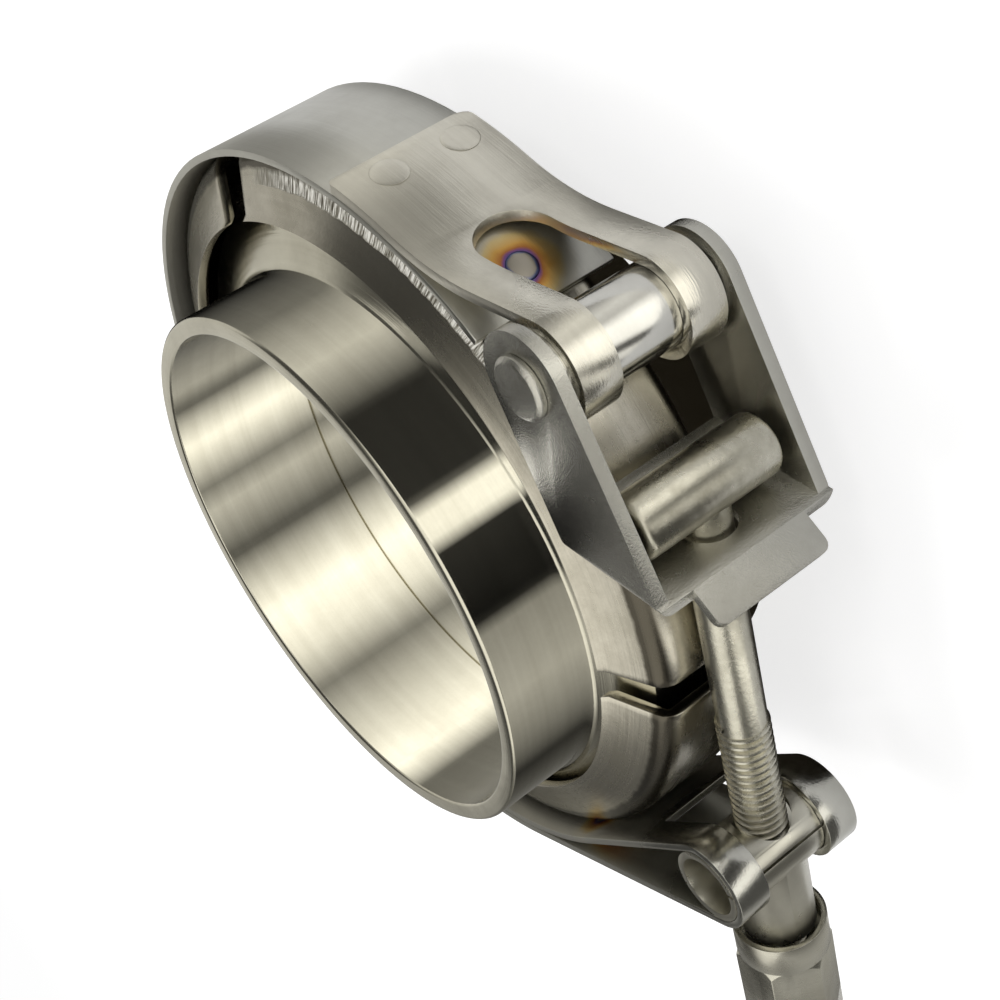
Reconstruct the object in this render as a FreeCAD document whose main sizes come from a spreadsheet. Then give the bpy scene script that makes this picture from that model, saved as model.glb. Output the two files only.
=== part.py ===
import FreeCAD, Part
import math
import os
import Sketcher

# A V band clamp with a quick latch, holding two coned pipe flanges, in millimetres.
# Z runs up the pipe axis. The origin is the centre of the lower flange's mouth.
# X runs along the bolt, from the nut to the latch pin, and the latch is on the -Y side.

SIZES = [
    # the two flanges
    ("pipe_bore_radius", 31.75),
    ("pipe_wall", 2.25),
    ("flange_height", 19.1),
    ("rim_overhang", 7.7),
    ("rim_half_thickness", 5.2),
    ("cone_angle", 20.0),
    ("shoulder_chamfer", 1.0),
    ("mouth_chamfer", 0.35),
    ("joint_chamfer", 0.3),
    # where the clamp hangs on the flanges, slack towards the latch pin
    ("clamp_slack_x", 2.6),
    ("clamp_slack_y", 0.5),
    ("cone_gap", 0.25),
    ("crown_gap", 0.12),
    # the V segments, and the strap that they are welded inside
    ("segment_thickness", 1.3),
    ("foot_gap", 2.2),
    ("lip_reach", 0.6),
    ("lip_rise", 0.7),
    ("crown_bend", 1.2),
    ("segment_angle", 113.0),
    ("segment_a_middle_angle", -38.25),
    ("segment_b_middle_angle", -157.0),
    ("segment_c_middle_angle", 84.5),
    ("weld_gap", 0.05),
    ("strap_thickness", 0.9),
    ("strap_width", 17.8),
    ("strap_end_angle", -41.0),
    ("strap_tail_angle", 20.0),
    # the T-bolt
    ("bolt_gap", 0.2),
    ("thread_radius", 3.0),
    ("thread_height", 0.28),
    ("thread_lead", 17.7),
    ("bolt_end_reach", 1.7),
    ("bolt_end_chamfer", 0.6),
    ("bar_reach", 14.7),
    ("bar_radius", 3.45),
    ("bar_end_gap", 0.7),
    ("bar_end_chamfer", 1.1),
    # the trunnion in the strap's loops
    ("trunnion_reach", 28.9),
    ("swivel_gap", 0.4),
    ("neck_wall", 0.9),
    ("neck_length", 12.9),
    ("tube_overhang", 0.2),
    ("tube_wall", 0.85),
    ("trunnion_gap", 0.06),
    ("seam_width", 0.35),
    ("seam_angle", -72.0),
    ("loop_side_gap", 0.4),
    ("loop_slot_reach", 11.0),
    # the nut
    ("thread_clearance", 0.05),
    ("cup_gap", 0.5),
    ("cup_wall", 0.7),
    ("cup_depth", 2.9),
    ("cup_overlap", 0.3),
    ("collar_length", 9.9),
    ("nut_length", 18.6),
    ("hex_across_flats", 10.0),
    # the tongue and the pivot that it is rolled round
    ("tongue_thickness", 1.2),
    ("tongue_width", 17.8),
    ("tongue_start_angle", -12.0),
    ("tongue_leave_angle", -24.0),
    ("tongue_wrap_angle", 285.0),
    ("tongue_step", 2.7),
    ("leg_width", 4.6),
    ("window_reach", 17.4),
    ("pin_rise", 7.9),
    ("pin_radius", 2.8),
    ("pin_gap", 0.05),
    ("head_overlap", 0.6),
    ("pin_head_height", 1.0),
    ("pin_tail_height", 0.8),
    ("pin_head_bevel", 0.3),
    ("sleeve_wall", 1.55),
    ("sleeve_end_gap", 0.3),
    # the latch frame
    ("plate_gap", 1.0),
    ("plate_thickness", 1.5),
    ("plate_margin", 2.9),
    ("plate_inner_drop", 1.1),
    ("frame_depth", 6.5),
    ("web_thickness", 1.2),
    ("web_rise", 3.1),
    ("frame_bend_radius", 1.6),
    ("cradle_gap", 1.0),
    ("cradle_end_gap", 2.1),
    ("cradle_end_angle", 80.0),
    ("lip_end_gap", 2.6),
    ("lip_length", 4.4),
    ("lip_angle", 236.0),
    ("web_lean_angle", -7.0),
    ("slot_side_gap", 0.38),
    ("slot_gap", 0.5),
    ("slot_extra", 1.7),
]

# Sizes that follow from the ones above, as formulas on a second sheet.
WORKED = [
    ("on_axis", "0"),
    ("slope", "tan(Sizes.cone_angle)"),
    ("pipe_outer_radius", "Sizes.pipe_bore_radius + Sizes.pipe_wall"),
    ("rim_radius", "pipe_outer_radius + Sizes.rim_overhang"),
    ("mouth_outer", "pipe_outer_radius - Sizes.mouth_chamfer"),
    ("mouth_edge", "Sizes.flange_height - Sizes.mouth_chamfer"),
    ("joint_bore", "Sizes.pipe_bore_radius + Sizes.joint_chamfer"),
    ("shoulder_z", "Sizes.rim_half_thickness + Sizes.rim_overhang * slope"),
    ("shoulder_out", "pipe_outer_radius + Sizes.shoulder_chamfer"),
    ("shoulder_low_z", "shoulder_z - Sizes.shoulder_chamfer * slope"),
    ("shoulder_top_z", "shoulder_z + Sizes.shoulder_chamfer"),
    # the segments hang clear of the rims on the slack side
    ("slack", "sqrt(Sizes.clamp_slack_x ^ 2 + Sizes.clamp_slack_y ^ 2)"),
    ("cone_top", "rim_radius + slack + Sizes.cone_gap"),
    ("crown_inner", "rim_radius + slack + Sizes.crown_gap"),
    ("crown_outer", "crown_inner + Sizes.segment_thickness"),
    ("leg_rise", "Sizes.segment_thickness / cos(Sizes.cone_angle)"),
    ("crown_in_z", "Sizes.rim_half_thickness + (cone_top - crown_inner) * slope"),
    ("crown_out_z", "Sizes.rim_half_thickness + (cone_top - crown_outer) * slope + leg_rise"),
    ("bend_radius", "crown_outer - Sizes.crown_bend"),
    ("bend_top_z", "crown_out_z + Sizes.crown_bend * slope"),
    ("bend_low_z", "crown_out_z - Sizes.crown_bend"),
    ("foot_radius", "pipe_outer_radius + slack + Sizes.foot_gap"),
    ("foot_in_z", "Sizes.rim_half_thickness + (cone_top - foot_radius) * slope"),
    ("foot_out_z", "foot_in_z + leg_rise"),
    ("lip_radius", "foot_radius - Sizes.lip_reach"),
    ("lip_in_z", "foot_in_z + Sizes.lip_rise"),
    ("lip_out_z", "foot_out_z + Sizes.lip_rise"),
    ("strap_outer_radius", "crown_outer + Sizes.weld_gap + Sizes.strap_thickness"),
    # the tongue's loops round the pivot
    ("sleeve_bore", "Sizes.pin_radius + Sizes.pin_gap"),
    ("sleeve_radius", "sleeve_bore + Sizes.sleeve_wall"),
    ("roll_radius", "sleeve_radius + Sizes.pin_gap + Sizes.tongue_thickness / 2"),
    ("tongue_band", "strap_outer_radius + Sizes.weld_gap + Sizes.tongue_thickness / 2"),
    ("tongue_leave_x", "Sizes.clamp_slack_x + tongue_band * cos(Sizes.tongue_leave_angle)"),
    ("pin_x", "tongue_leave_x - Sizes.tongue_step - roll_radius"),
    ("bolt_y", "Sizes.clamp_slack_y - crown_outer - Sizes.bolt_gap - Sizes.thread_radius"),
    ("pin_y", "bolt_y + Sizes.pin_rise"),
    ("bar_x", "pin_x - Sizes.bar_reach"),
    ("trunnion_x", "Sizes.clamp_slack_x - Sizes.trunnion_reach"),
    ("window_half", "Sizes.tongue_width / 2 - Sizes.leg_width"),
    ("window_top_y", "pin_y + Sizes.window_reach"),
    # the latch frame's plates stand outside the tongue
    ("plate_inside", "Sizes.tongue_width / 2 + Sizes.plate_gap"),
    ("frame_half_width", "plate_inside + Sizes.plate_thickness"),
    ("plate_end_radius", "Sizes.pin_radius + Sizes.plate_margin"),
    ("cradle_radius", "Sizes.bar_radius + Sizes.cradle_gap"),
    ("cradle_half_width", "plate_inside - Sizes.cradle_end_gap"),
    ("lip_half_width", "plate_inside - Sizes.lip_end_gap"),
    ("web_back", "cradle_radius + Sizes.web_thickness"),
    ("plate_inner_rise", "Sizes.pin_rise - Sizes.plate_inner_drop"),
    ("shank_radius", "Sizes.thread_radius - Sizes.thread_height"),
    ("slot_half_width", "shank_radius + Sizes.slot_side_gap"),
    ("sleeve_half", "plate_inside - Sizes.sleeve_end_gap"),
    ("pin_head_radius", "Sizes.pin_radius + Sizes.head_overlap"),
    ("head_top", "frame_half_width + Sizes.pin_head_height"),
    ("head_edge", "head_top - Sizes.pin_head_bevel"),
    ("head_flat", "pin_head_radius - Sizes.pin_head_bevel"),
    ("tail_top", "frame_half_width + Sizes.pin_tail_height"),
    ("tail_edge", "tail_top - Sizes.pin_head_bevel"),
    # the trunnion, the nut on its neck, and the bolt through both
    ("trunnion_bore_radius", "Sizes.thread_radius + Sizes.swivel_gap"),
    ("neck_radius", "trunnion_bore_radius + Sizes.neck_wall"),
    ("trunnion_radius", "neck_radius + Sizes.tube_overhang"),
    ("tube_bore", "trunnion_radius - Sizes.tube_wall"),
    ("loop_slot_half", "neck_radius + Sizes.loop_side_gap"),
    ("nut_bore", "Sizes.thread_radius + Sizes.thread_clearance"),
    ("cup_radius", "neck_radius + Sizes.cup_gap"),
    ("collar_radius", "cup_radius + Sizes.cup_wall"),
    ("nut_x", "trunnion_x - Sizes.neck_length + Sizes.cup_overlap"),
    ("bar_half_length", "plate_inside - Sizes.bar_end_gap"),
    ("thread_start", "bar_x - trunnion_x - Sizes.thread_lead"),
    ("bolt_length", "bar_x - nut_x + Sizes.nut_length + Sizes.bolt_end_reach"),
]

doc = FreeCAD.newDocument("VBandClamp")


def fill_sheet(name, rows, formula):
    """Write one row per size: its name, and its value under that alias."""
    sheet = doc.addObject("Spreadsheet::Sheet", name)
    for number, (alias, value) in enumerate(rows, start=1):
        sheet.set(f"A{number}", alias)
        sheet.setAlias(f"B{number}", alias)
        sheet.set(f"B{number}", "=" + value if formula else str(value))
    doc.recompute()
    return sheet


driving = fill_sheet("Sizes", SIZES, False)
worked = fill_sheet("Worked", WORKED, True)
HOME = {alias: "Sizes" for alias, value in SIZES}
HOME.update({alias: "Worked" for alias, value in WORKED})


def size(alias):
    """The number of one size, from whichever sheet holds it."""
    sheet = driving if HOME[alias] == "Sizes" else worked
    return float(sheet.get(alias))


def signed(name):
    """A coordinate given as an alias, or as a minus sign and an alias."""
    alias = name.lstrip("-")
    sign = -1 if name.startswith("-") else 1
    return sign * size(alias), f"{'-' if sign < 0 else ''}{HOME[alias]}.{alias}"


def point(x, y, z=0.0):
    return FreeCAD.Vector(x, y, z)


def polar(centre, radius, degrees):
    """The point at an angle round a centre, in the plane of a sketch."""
    turn = math.radians(degrees)
    return centre + point(radius * math.cos(turn), radius * math.sin(turn))


# Sketches and features

def new_body(label, x=None, y=None, z=None):
    """A body with its own label, placed by the sizes that position it."""
    body = doc.addObject("PartDesign::Body", label)
    body.Label = label
    for axis, name in zip("xyz", (x, y, z)):
        if name:
            body.setExpression(f"Placement.Base.{axis}", signed(name)[1])
    return body


def new_sketch(body, name, role, lift=None):
    """A sketch on one of the body's own origin planes, lifted off it if asked."""
    sketch = body.newObject("Sketcher::SketchObject", name)
    plane = next(item for item in body.Origin.OriginFeatures if item.Role == role)
    sketch.AttachmentSupport = (plane, [""])
    sketch.MapMode = "FlatFace"
    if lift:
        sketch.setExpression("AttachmentOffset.Base.z", lift)
    return sketch


def add_polygon(sketch, corners):
    """A closed outline whose corners are pairs of signed size names."""
    values = [[signed(name) for name in corner] for corner in corners]
    first = sketch.GeometryCount
    for index, corner in enumerate(values):
        following = values[(index + 1) % len(values)]
        start = point(corner[0][0], corner[1][0])
        end = point(following[0][0], following[1][0])
        sketch.addGeometry(Part.LineSegment(start, end))
    for index, corner in enumerate(values):
        line = first + index
        after = first + (index + 1) % len(values)
        sketch.addConstraint(Sketcher.Constraint("Coincident", line, 2, after, 1))
        for kind, (value, formula) in zip(("DistanceX", "DistanceY"), corner):
            row = sketch.addConstraint(Sketcher.Constraint(kind, -1, 1, line, 1, value))
            sketch.setExpression(f"Constraints[{row}]", formula)


def add_circle(sketch, radius):
    """A circle about the sketch's origin, its radius bound to a size."""
    circle = sketch.addGeometry(Part.Circle(point(0, 0), point(0, 0, 1), size(radius)))
    sketch.addConstraint(Sketcher.Constraint("Coincident", circle, 3, -1, 1))
    row = sketch.addConstraint(Sketcher.Constraint("Radius", circle, size(radius)))
    sketch.setExpression(f"Constraints[{row}]", signed(radius)[1])


def add_edges(sketch, edges):
    """An outline of lines and arcs that were worked out from the sizes."""
    for edge in edges:
        sketch.addGeometry(edge)


def add_loop(sketch, corners):
    """A closed outline of straight lines through worked-out points."""
    for start, end in zip(corners, corners[1:] + corners[:1]):
        sketch.addGeometry(Part.LineSegment(start, end))


def pad(body, name, sketch, length, reverse=False):
    feature = body.newObject("PartDesign::Pad", name)
    feature.Profile = sketch
    feature.setExpression("Length", length)
    feature.Reversed = reverse
    return finish(body, feature)


def cut(body, name, sketch, length, reverse=False):
    """A pocket, which has to take something away from the body."""
    before = body.Shape.Volume
    feature = body.newObject("PartDesign::Pocket", name)
    feature.Profile = sketch
    feature.setExpression("Length", length)
    feature.Reversed = reverse
    finish(body, feature)
    if body.Shape.Volume > before - 0.01:
        raise ValueError(f"{body.Label}: {name} cuts nothing")
    return feature


def turn(body, name, sketch, angle=None):
    """A revolution about the sketch's upright axis, the same each side of its plane."""
    feature = body.newObject("PartDesign::Revolution", name)
    feature.Profile = sketch
    feature.ReferenceAxis = (sketch, ["V_Axis"])
    if angle:
        feature.Midplane = True
        feature.setExpression("Angle", angle)
    else:
        feature.Angle = 360
    return finish(body, feature)


def finish(body, feature):
    """Recompute after a feature and make it the body's tip."""
    body.Tip = feature
    for sketch in [item for item in body.Group if item.isDerivedFrom("Sketcher::SketchObject")]:
        sketch.Visibility = False
    doc.recompute()
    return feature


def soften_edges(body, name, kind, amount, chosen):
    """A fillet or chamfer on the edges of the tip that the test picks."""
    tip = body.Tip
    edges = [f"Edge{number}" for number, edge in enumerate(tip.Shape.Edges, start=1) if chosen(edge)]
    if not edges:
        raise ValueError(f"{body.Label}: no edge for {name}")
    feature = body.newObject(f"PartDesign::{kind}", name)
    feature.Base = (tip, edges)
    feature.setExpression("Radius" if kind == "Fillet" else "Size", signed(amount)[1])
    return finish(body, feature)


def is_circle(edge, radius):
    """True for a circle or arc of this radius."""
    return isinstance(edge.Curve, Part.Circle) and abs(edge.Curve.Radius - radius) < 1e-4


# Bent sheet: a path of lines and arcs, given a thickness

def arc_piece(centre, radius, start, end):
    return ("arc", centre, radius, start, end)


def line_piece(start, end):
    return ("line", start, end)


def beside(piece, distance):
    """One piece of a path moved sideways, to its left if the distance is positive."""
    if piece[0] == "line":
        along = (piece[2] - piece[1]).normalize()
        aside = point(-along.y, along.x) * distance
        return Part.LineSegment(piece[1] + aside, piece[2] + aside)
    centre, radius, start, end = piece[1:]
    moved = radius - distance if end > start else radius + distance
    circle = Part.Circle(centre, point(0, 0, 1), moved)
    low, high = sorted((math.radians(start), math.radians(end)))
    return Part.ArcOfCircle(circle, low, high)


def ends(piece, distance):
    """Where a moved piece starts and ends, in the path's own direction."""
    if piece[0] == "line":
        moved = beside(piece, distance)
        return moved.StartPoint, moved.EndPoint
    centre, radius, start, end = piece[1:]
    moved = radius - distance if end > start else radius + distance
    return polar(centre, moved, start), polar(centre, moved, end)


def strip_outline(path, thickness):
    """The closed outline of a sheet of this thickness along a smooth path."""
    half = thickness / 2
    edges = [beside(piece, side) for side in (half, -half) for piece in path]
    start = [ends(path[0], side)[0] for side in (half, -half)]
    finish_at = [ends(path[-1], side)[1] for side in (half, -half)]
    edges.append(Part.LineSegment(start[0], start[1]))
    edges.append(Part.LineSegment(finish_at[0], finish_at[1]))
    return edges


# The flanges: a short pipe neck and a rim with a 20 degree cone

def flange(label):
    """One flange, its joint face at the body's own origin plane."""
    body = new_body(label, z="flange_height")
    sketch = new_sketch(body, "FlangeSection", "XZ_Plane")
    add_polygon(sketch, [
        ("joint_bore", "on_axis"), ("rim_radius", "on_axis"), ("rim_radius", "rim_half_thickness"),
        ("shoulder_out", "shoulder_low_z"), ("pipe_outer_radius", "shoulder_top_z"),
        ("pipe_outer_radius", "mouth_edge"), ("mouth_outer", "flange_height"),
        ("pipe_bore_radius", "flange_height"), ("pipe_bore_radius", "joint_chamfer"),
    ])
    turn(body, "FlangeRing", sketch)
    return body


upper_flange = flange("upper_flange")
lower_flange = flange("lower_flange")
lower_flange.Placement.Rotation = FreeCAD.Rotation(point(1, 0, 0), 180)

CLAMP = point(size("clamp_slack_x"), size("clamp_slack_y"))


# The V segments: pressed channel, its legs on the flanges' cones

def v_segment(label, middle):
    """One segment, its section turned through the segment's angle about the clamp's centre."""
    body = new_body(label, "clamp_slack_x", "clamp_slack_y", "flange_height")
    sketch = new_sketch(body, "SegmentSection", "XZ_Plane")
    upper = [
        ("crown_outer", "bend_low_z"), ("bend_radius", "bend_top_z"), ("foot_radius", "foot_out_z"),
        ("lip_radius", "lip_out_z"), ("lip_radius", "lip_in_z"), ("foot_radius", "foot_in_z"),
        ("crown_inner", "crown_in_z"),
    ]
    lower = [(radius, "-" + height) for radius, height in reversed(upper)]
    add_polygon(sketch, upper + lower)
    turn(body, "SegmentSweep", sketch, "Sizes.segment_angle")
    body.Placement.Rotation = FreeCAD.Rotation(point(0, 0, 1), size(middle))
    return body


v_segment_a = v_segment("v_segment_a", "segment_a_middle_angle")
v_segment_b = v_segment("v_segment_b", "segment_b_middle_angle")
v_segment_c = v_segment("v_segment_c", "segment_c_middle_angle")


# The strap: round the segments, out to the trunnion, round it and back on itself

def strap_path():
    """The strap's middle line, from its plain end to its welded tail."""
    half = size("strap_thickness") / 2
    band = size("strap_outer_radius") - half
    tail = size("strap_outer_radius") + size("weld_gap") + half
    loop = size("trunnion_radius") + size("trunnion_gap") + half
    trunnion = point(size("trunnion_x"), size("bolt_y"))
    across = trunnion - CLAMP
    bearing = math.degrees(math.atan2(across.y, across.x)) + 360
    leave = bearing - math.degrees(math.acos((band + loop) / across.Length))
    rejoin = bearing - math.degrees(math.acos((tail - loop) / across.Length))
    tail_end = rejoin - size("strap_tail_angle")
    return [
        arc_piece(CLAMP, band, size("strap_end_angle"), leave),
        line_piece(polar(CLAMP, band, leave), polar(trunnion, loop, leave - 180)),
        arc_piece(trunnion, loop, leave - 180, rejoin - 360),
        line_piece(polar(trunnion, loop, rejoin), polar(CLAMP, tail, rejoin)),
        arc_piece(CLAMP, tail, rejoin, tail_end),
    ]


def make_strap():
    body = new_body("strap", z="flange_height")
    path = strap_path()
    sketch = new_sketch(body, "StrapEdge", "XY_Plane", "-Sizes.strap_width / 2")
    add_edges(sketch, strip_outline(path, size("strap_thickness")))
    pad(body, "StrapSheet", sketch, "Sizes.strap_width")
    # the slot that leaves two loops, one each side of the bolt and the trunnion's neck
    trunnion = point(size("trunnion_x"), size("bolt_y"))
    inward = (path[1][1] - path[1][2]).normalize() + (path[3][2] - path[3][1]).normalize()
    inward.normalize()
    aside = point(-inward.y, inward.x)
    wide = 4 * size("trunnion_radius")
    far = trunnion + inward * size("loop_slot_reach")
    near = trunnion - inward * wide
    slot = new_sketch(body, "LoopSlot", "XY_Plane", "Worked.loop_slot_half")
    add_loop(slot, [far + aside * wide, near + aside * wide, near - aside * wide, far - aside * wide])
    cut(body, "LoopSlotCut", slot, "2 * Worked.loop_slot_half")
    return body


strap = make_strap()


# The tongue: welded on the strap, with two legs rolled round the pivot sleeve

def tongue_path():
    """The tongue's middle line, from its welded end to the ends of its rolled legs."""
    band = size("tongue_band")
    roll = size("roll_radius")
    pin = point(size("pin_x"), size("pin_y"))
    leave = size("tongue_leave_angle")
    leaving = polar(CLAMP, band, leave)
    upright = pin.x + roll
    bend = (leaving.x - upright) / (1 - math.cos(math.radians(leave)))
    bend_centre = polar(leaving, bend, leave)
    touch = point(upright, bend_centre.y)
    return [
        arc_piece(CLAMP, band, size("tongue_start_angle"), leave),
        arc_piece(bend_centre, bend, 180 + leave, 180),
        line_piece(touch, point(upright, pin.y)),
        arc_piece(pin, roll, 0, -size("tongue_wrap_angle")),
    ]


def make_tongue():
    body = new_body("latch_tongue", z="flange_height")
    sketch = new_sketch(body, "TongueEdge", "XY_Plane", "-Sizes.tongue_width / 2")
    add_edges(sketch, strip_outline(tongue_path(), size("tongue_thickness")))
    pad(body, "TongueSheet", sketch, "Sizes.tongue_width")
    # the keyhole between the legs, open at their rolled ends and round at the other
    half = size("window_half")
    round_y = size("window_top_y") - half
    open_y = size("pin_y") - 3 * size("sleeve_radius")
    window = new_sketch(body, "Window", "YZ_Plane")
    corners = [point(round_y, half), point(open_y, half), point(open_y, -half), point(round_y, -half)]
    for start, end in zip(corners, corners[1:]):
        window.addGeometry(Part.LineSegment(start, end))
    ring = Part.Circle(point(round_y, 0), point(0, 0, 1), half)
    window.addGeometry(Part.ArcOfCircle(ring, -math.pi / 2, math.pi / 2))
    cut(body, "WindowCut", window, "2 * Worked.strap_outer_radius", reverse=True)
    return body


latch_tongue = make_tongue()


# The pivot: a sleeve in the tongue's loops, and a headed pin through it and the frame

def make_sleeve():
    body = new_body("pivot_sleeve", "pin_x", "pin_y", "flange_height")
    sketch = new_sketch(body, "SleeveSection", "XZ_Plane")
    add_polygon(sketch, [
        ("sleeve_bore", "-sleeve_half"), ("sleeve_radius", "-sleeve_half"),
        ("sleeve_radius", "sleeve_half"), ("sleeve_bore", "sleeve_half"),
    ])
    turn(body, "SleeveTube", sketch)
    return body


def make_pin():
    body = new_body("latch_pin", "pin_x", "pin_y", "flange_height")
    sketch = new_sketch(body, "PinSection", "XZ_Plane")
    add_polygon(sketch, [
        ("on_axis", "-tail_top"), ("head_flat", "-tail_top"), ("pin_head_radius", "-tail_edge"),
        ("pin_head_radius", "-frame_half_width"), ("pin_radius", "-frame_half_width"),
        ("pin_radius", "frame_half_width"), ("pin_head_radius", "frame_half_width"),
        ("pin_head_radius", "head_edge"), ("head_flat", "head_top"), ("on_axis", "head_top"),
    ])
    turn(body, "PinShape", sketch)
    return body


pivot_sleeve = make_sleeve()
latch_pin = make_pin()


# The latch frame: two side plates, a slotted web that leans, a cradle for the bolt's bar and a lip

def on_frame(x, y):
    """A point of the frame, given from the bar's axis and turned with the web's lean."""
    reach = math.hypot(x, y)
    bearing = math.degrees(math.atan2(y, x)) + size("web_lean_angle")
    return polar(point(size("bar_x"), size("bolt_y")), reach, bearing)


def plate_outline(pin):
    """A side plate: round about the pin, then tapering to the web's edge."""
    radius = size("plate_end_radius")
    inner = on_frame(-size("web_back"), size("plate_inner_rise"))
    outer = on_frame(-size("web_back"), -size("frame_depth"))

    def touch(corner, side):
        across = corner - pin
        bearing = math.degrees(math.atan2(across.y, across.x))
        return bearing + side * math.degrees(math.acos(radius / across.Length))

    start = touch(outer, 1) - 360
    end = touch(inner, -1)
    ring = Part.Circle(pin, point(0, 0, 1), radius)
    low, high = sorted((math.radians(start), math.radians(end)))
    return [
        Part.ArcOfCircle(ring, low, high),
        Part.LineSegment(polar(pin, radius, end), inner),
        Part.LineSegment(inner, outer),
        Part.LineSegment(outer, polar(pin, radius, start)),
    ]


def make_frame():
    body = new_body("latch_frame", z="flange_height")
    bar = point(size("bar_x"), size("bolt_y"))
    pin = point(size("pin_x"), size("pin_y"))
    thickness = size("web_thickness")
    back = -size("web_back")
    front = -size("cradle_radius")
    outer = -size("frame_depth")
    lean = size("web_lean_angle")
    web = new_sketch(body, "Web", "XY_Plane", "-Worked.frame_half_width")
    add_loop(web, [
        on_frame(back, outer), on_frame(front, outer),
        on_frame(front, size("web_rise")), on_frame(back, size("web_rise")),
    ])
    pad(body, "WebSheet", web, "2 * Worked.frame_half_width")
    for name, lift in (("UpperPlate", "Worked.plate_inside"), ("LowerPlate", "-Worked.frame_half_width")):
        plate = new_sketch(body, name, "XY_Plane", lift)
        add_edges(plate, plate_outline(pin))
        pad(body, name + "Sheet", plate, "Sizes.plate_thickness")
    cradle = new_sketch(body, "Cradle", "XY_Plane", "-Worked.cradle_half_width")
    middle = size("cradle_radius") + thickness / 2
    hook = arc_piece(bar, middle, size("cradle_end_angle"), 180 + lean)
    foot = line_piece(on_frame(-middle, 0), on_frame(-middle, outer))
    add_edges(cradle, strip_outline([hook, foot], thickness))
    pad(body, "CradleSheet", cradle, "2 * Worked.cradle_half_width")
    lip = new_sketch(body, "Lip", "XY_Plane", "-Worked.lip_half_width")
    bearing = size("lip_angle") + lean
    reach = polar(point(0, 0), size("lip_length"), bearing)
    across = polar(point(0, 0), thickness, bearing + 90)
    root = on_frame(front, outer)
    add_loop(lip, [root, root + reach, root + reach - across, root - across, on_frame(back, outer + thickness)])
    pad(body, "LipSheet", lip, "2 * Worked.lip_half_width")

    def on_corner(edge):
        if not isinstance(edge.Curve, Part.Line):
            return False
        middle = edge.CenterOfMass
        aside = point(middle.x, middle.y) - on_frame(back, 0)
        along = (on_frame(back, 1) - on_frame(back, 0)).normalize()
        off_face = abs(aside.x * along.y - aside.y * along.x)
        return off_face < 1e-4 and abs(abs(middle.z) - size("frame_half_width")) < 1e-4

    soften_edges(body, "FrameBends", "Fillet", "frame_bend_radius", on_corner)
    # the slot that the shank leans in as the latch swings
    half = size("slot_half_width")
    low_y = bar.y - size("shank_radius") - size("slot_gap") + half
    high_y = bar.y + size("shank_radius") + size("slot_gap") + size("slot_extra") - half
    slot = new_sketch(body, "ShankSlot", "YZ_Plane", "Worked.bar_x - Sizes.bar_radius / 2")
    slot.addGeometry(Part.LineSegment(point(low_y, half), point(high_y, half)))
    slot.addGeometry(Part.LineSegment(point(low_y, -half), point(high_y, -half)))
    left = Part.Circle(point(low_y, 0), point(0, 0, 1), half)
    right = Part.Circle(point(high_y, 0), point(0, 0, 1), half)
    slot.addGeometry(Part.ArcOfCircle(left, math.pi / 2, 3 * math.pi / 2))
    slot.addGeometry(Part.ArcOfCircle(right, -math.pi / 2, math.pi / 2))
    cut(body, "ShankSlotCut", slot, "2 * Worked.cradle_radius")
    hole = new_sketch(body, "PinHole", "XY_Plane", "Worked.frame_half_width")
    bore = hole.addGeometry(Part.Circle(pin, point(0, 0, 1), size("pin_radius")))
    row = hole.addConstraint(Sketcher.Constraint("Radius", bore, size("pin_radius")))
    hole.setExpression(f"Constraints[{row}]", "Sizes.pin_radius")
    cut(body, "PinHoleCut", hole, "2 * Worked.frame_half_width")
    return body


latch_frame = make_frame()


# The T-bolt: a crossbar, a plain rolled shank and a thread at its crest size

def make_bolt():
    body = new_body("t_bolt", "bar_x", "bolt_y", "flange_height")
    bar = new_sketch(body, "Bar", "XY_Plane", "-Worked.bar_half_length")
    add_circle(bar, "bar_radius")
    pad(body, "BarCylinder", bar, "2 * Worked.bar_half_length")

    def at_bar_end(edge):
        return is_circle(edge, size("bar_radius"))

    soften_edges(body, "BarEnds", "Chamfer", "bar_end_chamfer", at_bar_end)
    shank = new_sketch(body, "Shank", "YZ_Plane")
    add_circle(shank, "shank_radius")
    pad(body, "ShankCylinder", shank, "Worked.thread_start", reverse=True)
    thread = new_sketch(body, "Thread", "YZ_Plane", "-Worked.thread_start")
    add_circle(thread, "thread_radius")
    pad(body, "ThreadCylinder", thread, "Worked.bolt_length - Worked.thread_start", reverse=True)

    def at_tip(edge):
        return is_circle(edge, size("thread_radius")) and edge.CenterOfMass.x < 1 - size("bolt_length")

    soften_edges(body, "BoltTip", "Chamfer", "bolt_end_chamfer", at_tip)
    return body


t_bolt = make_bolt()


# The trunnion: a rolled tube in the strap's loops, with a neck along the bolt

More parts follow.
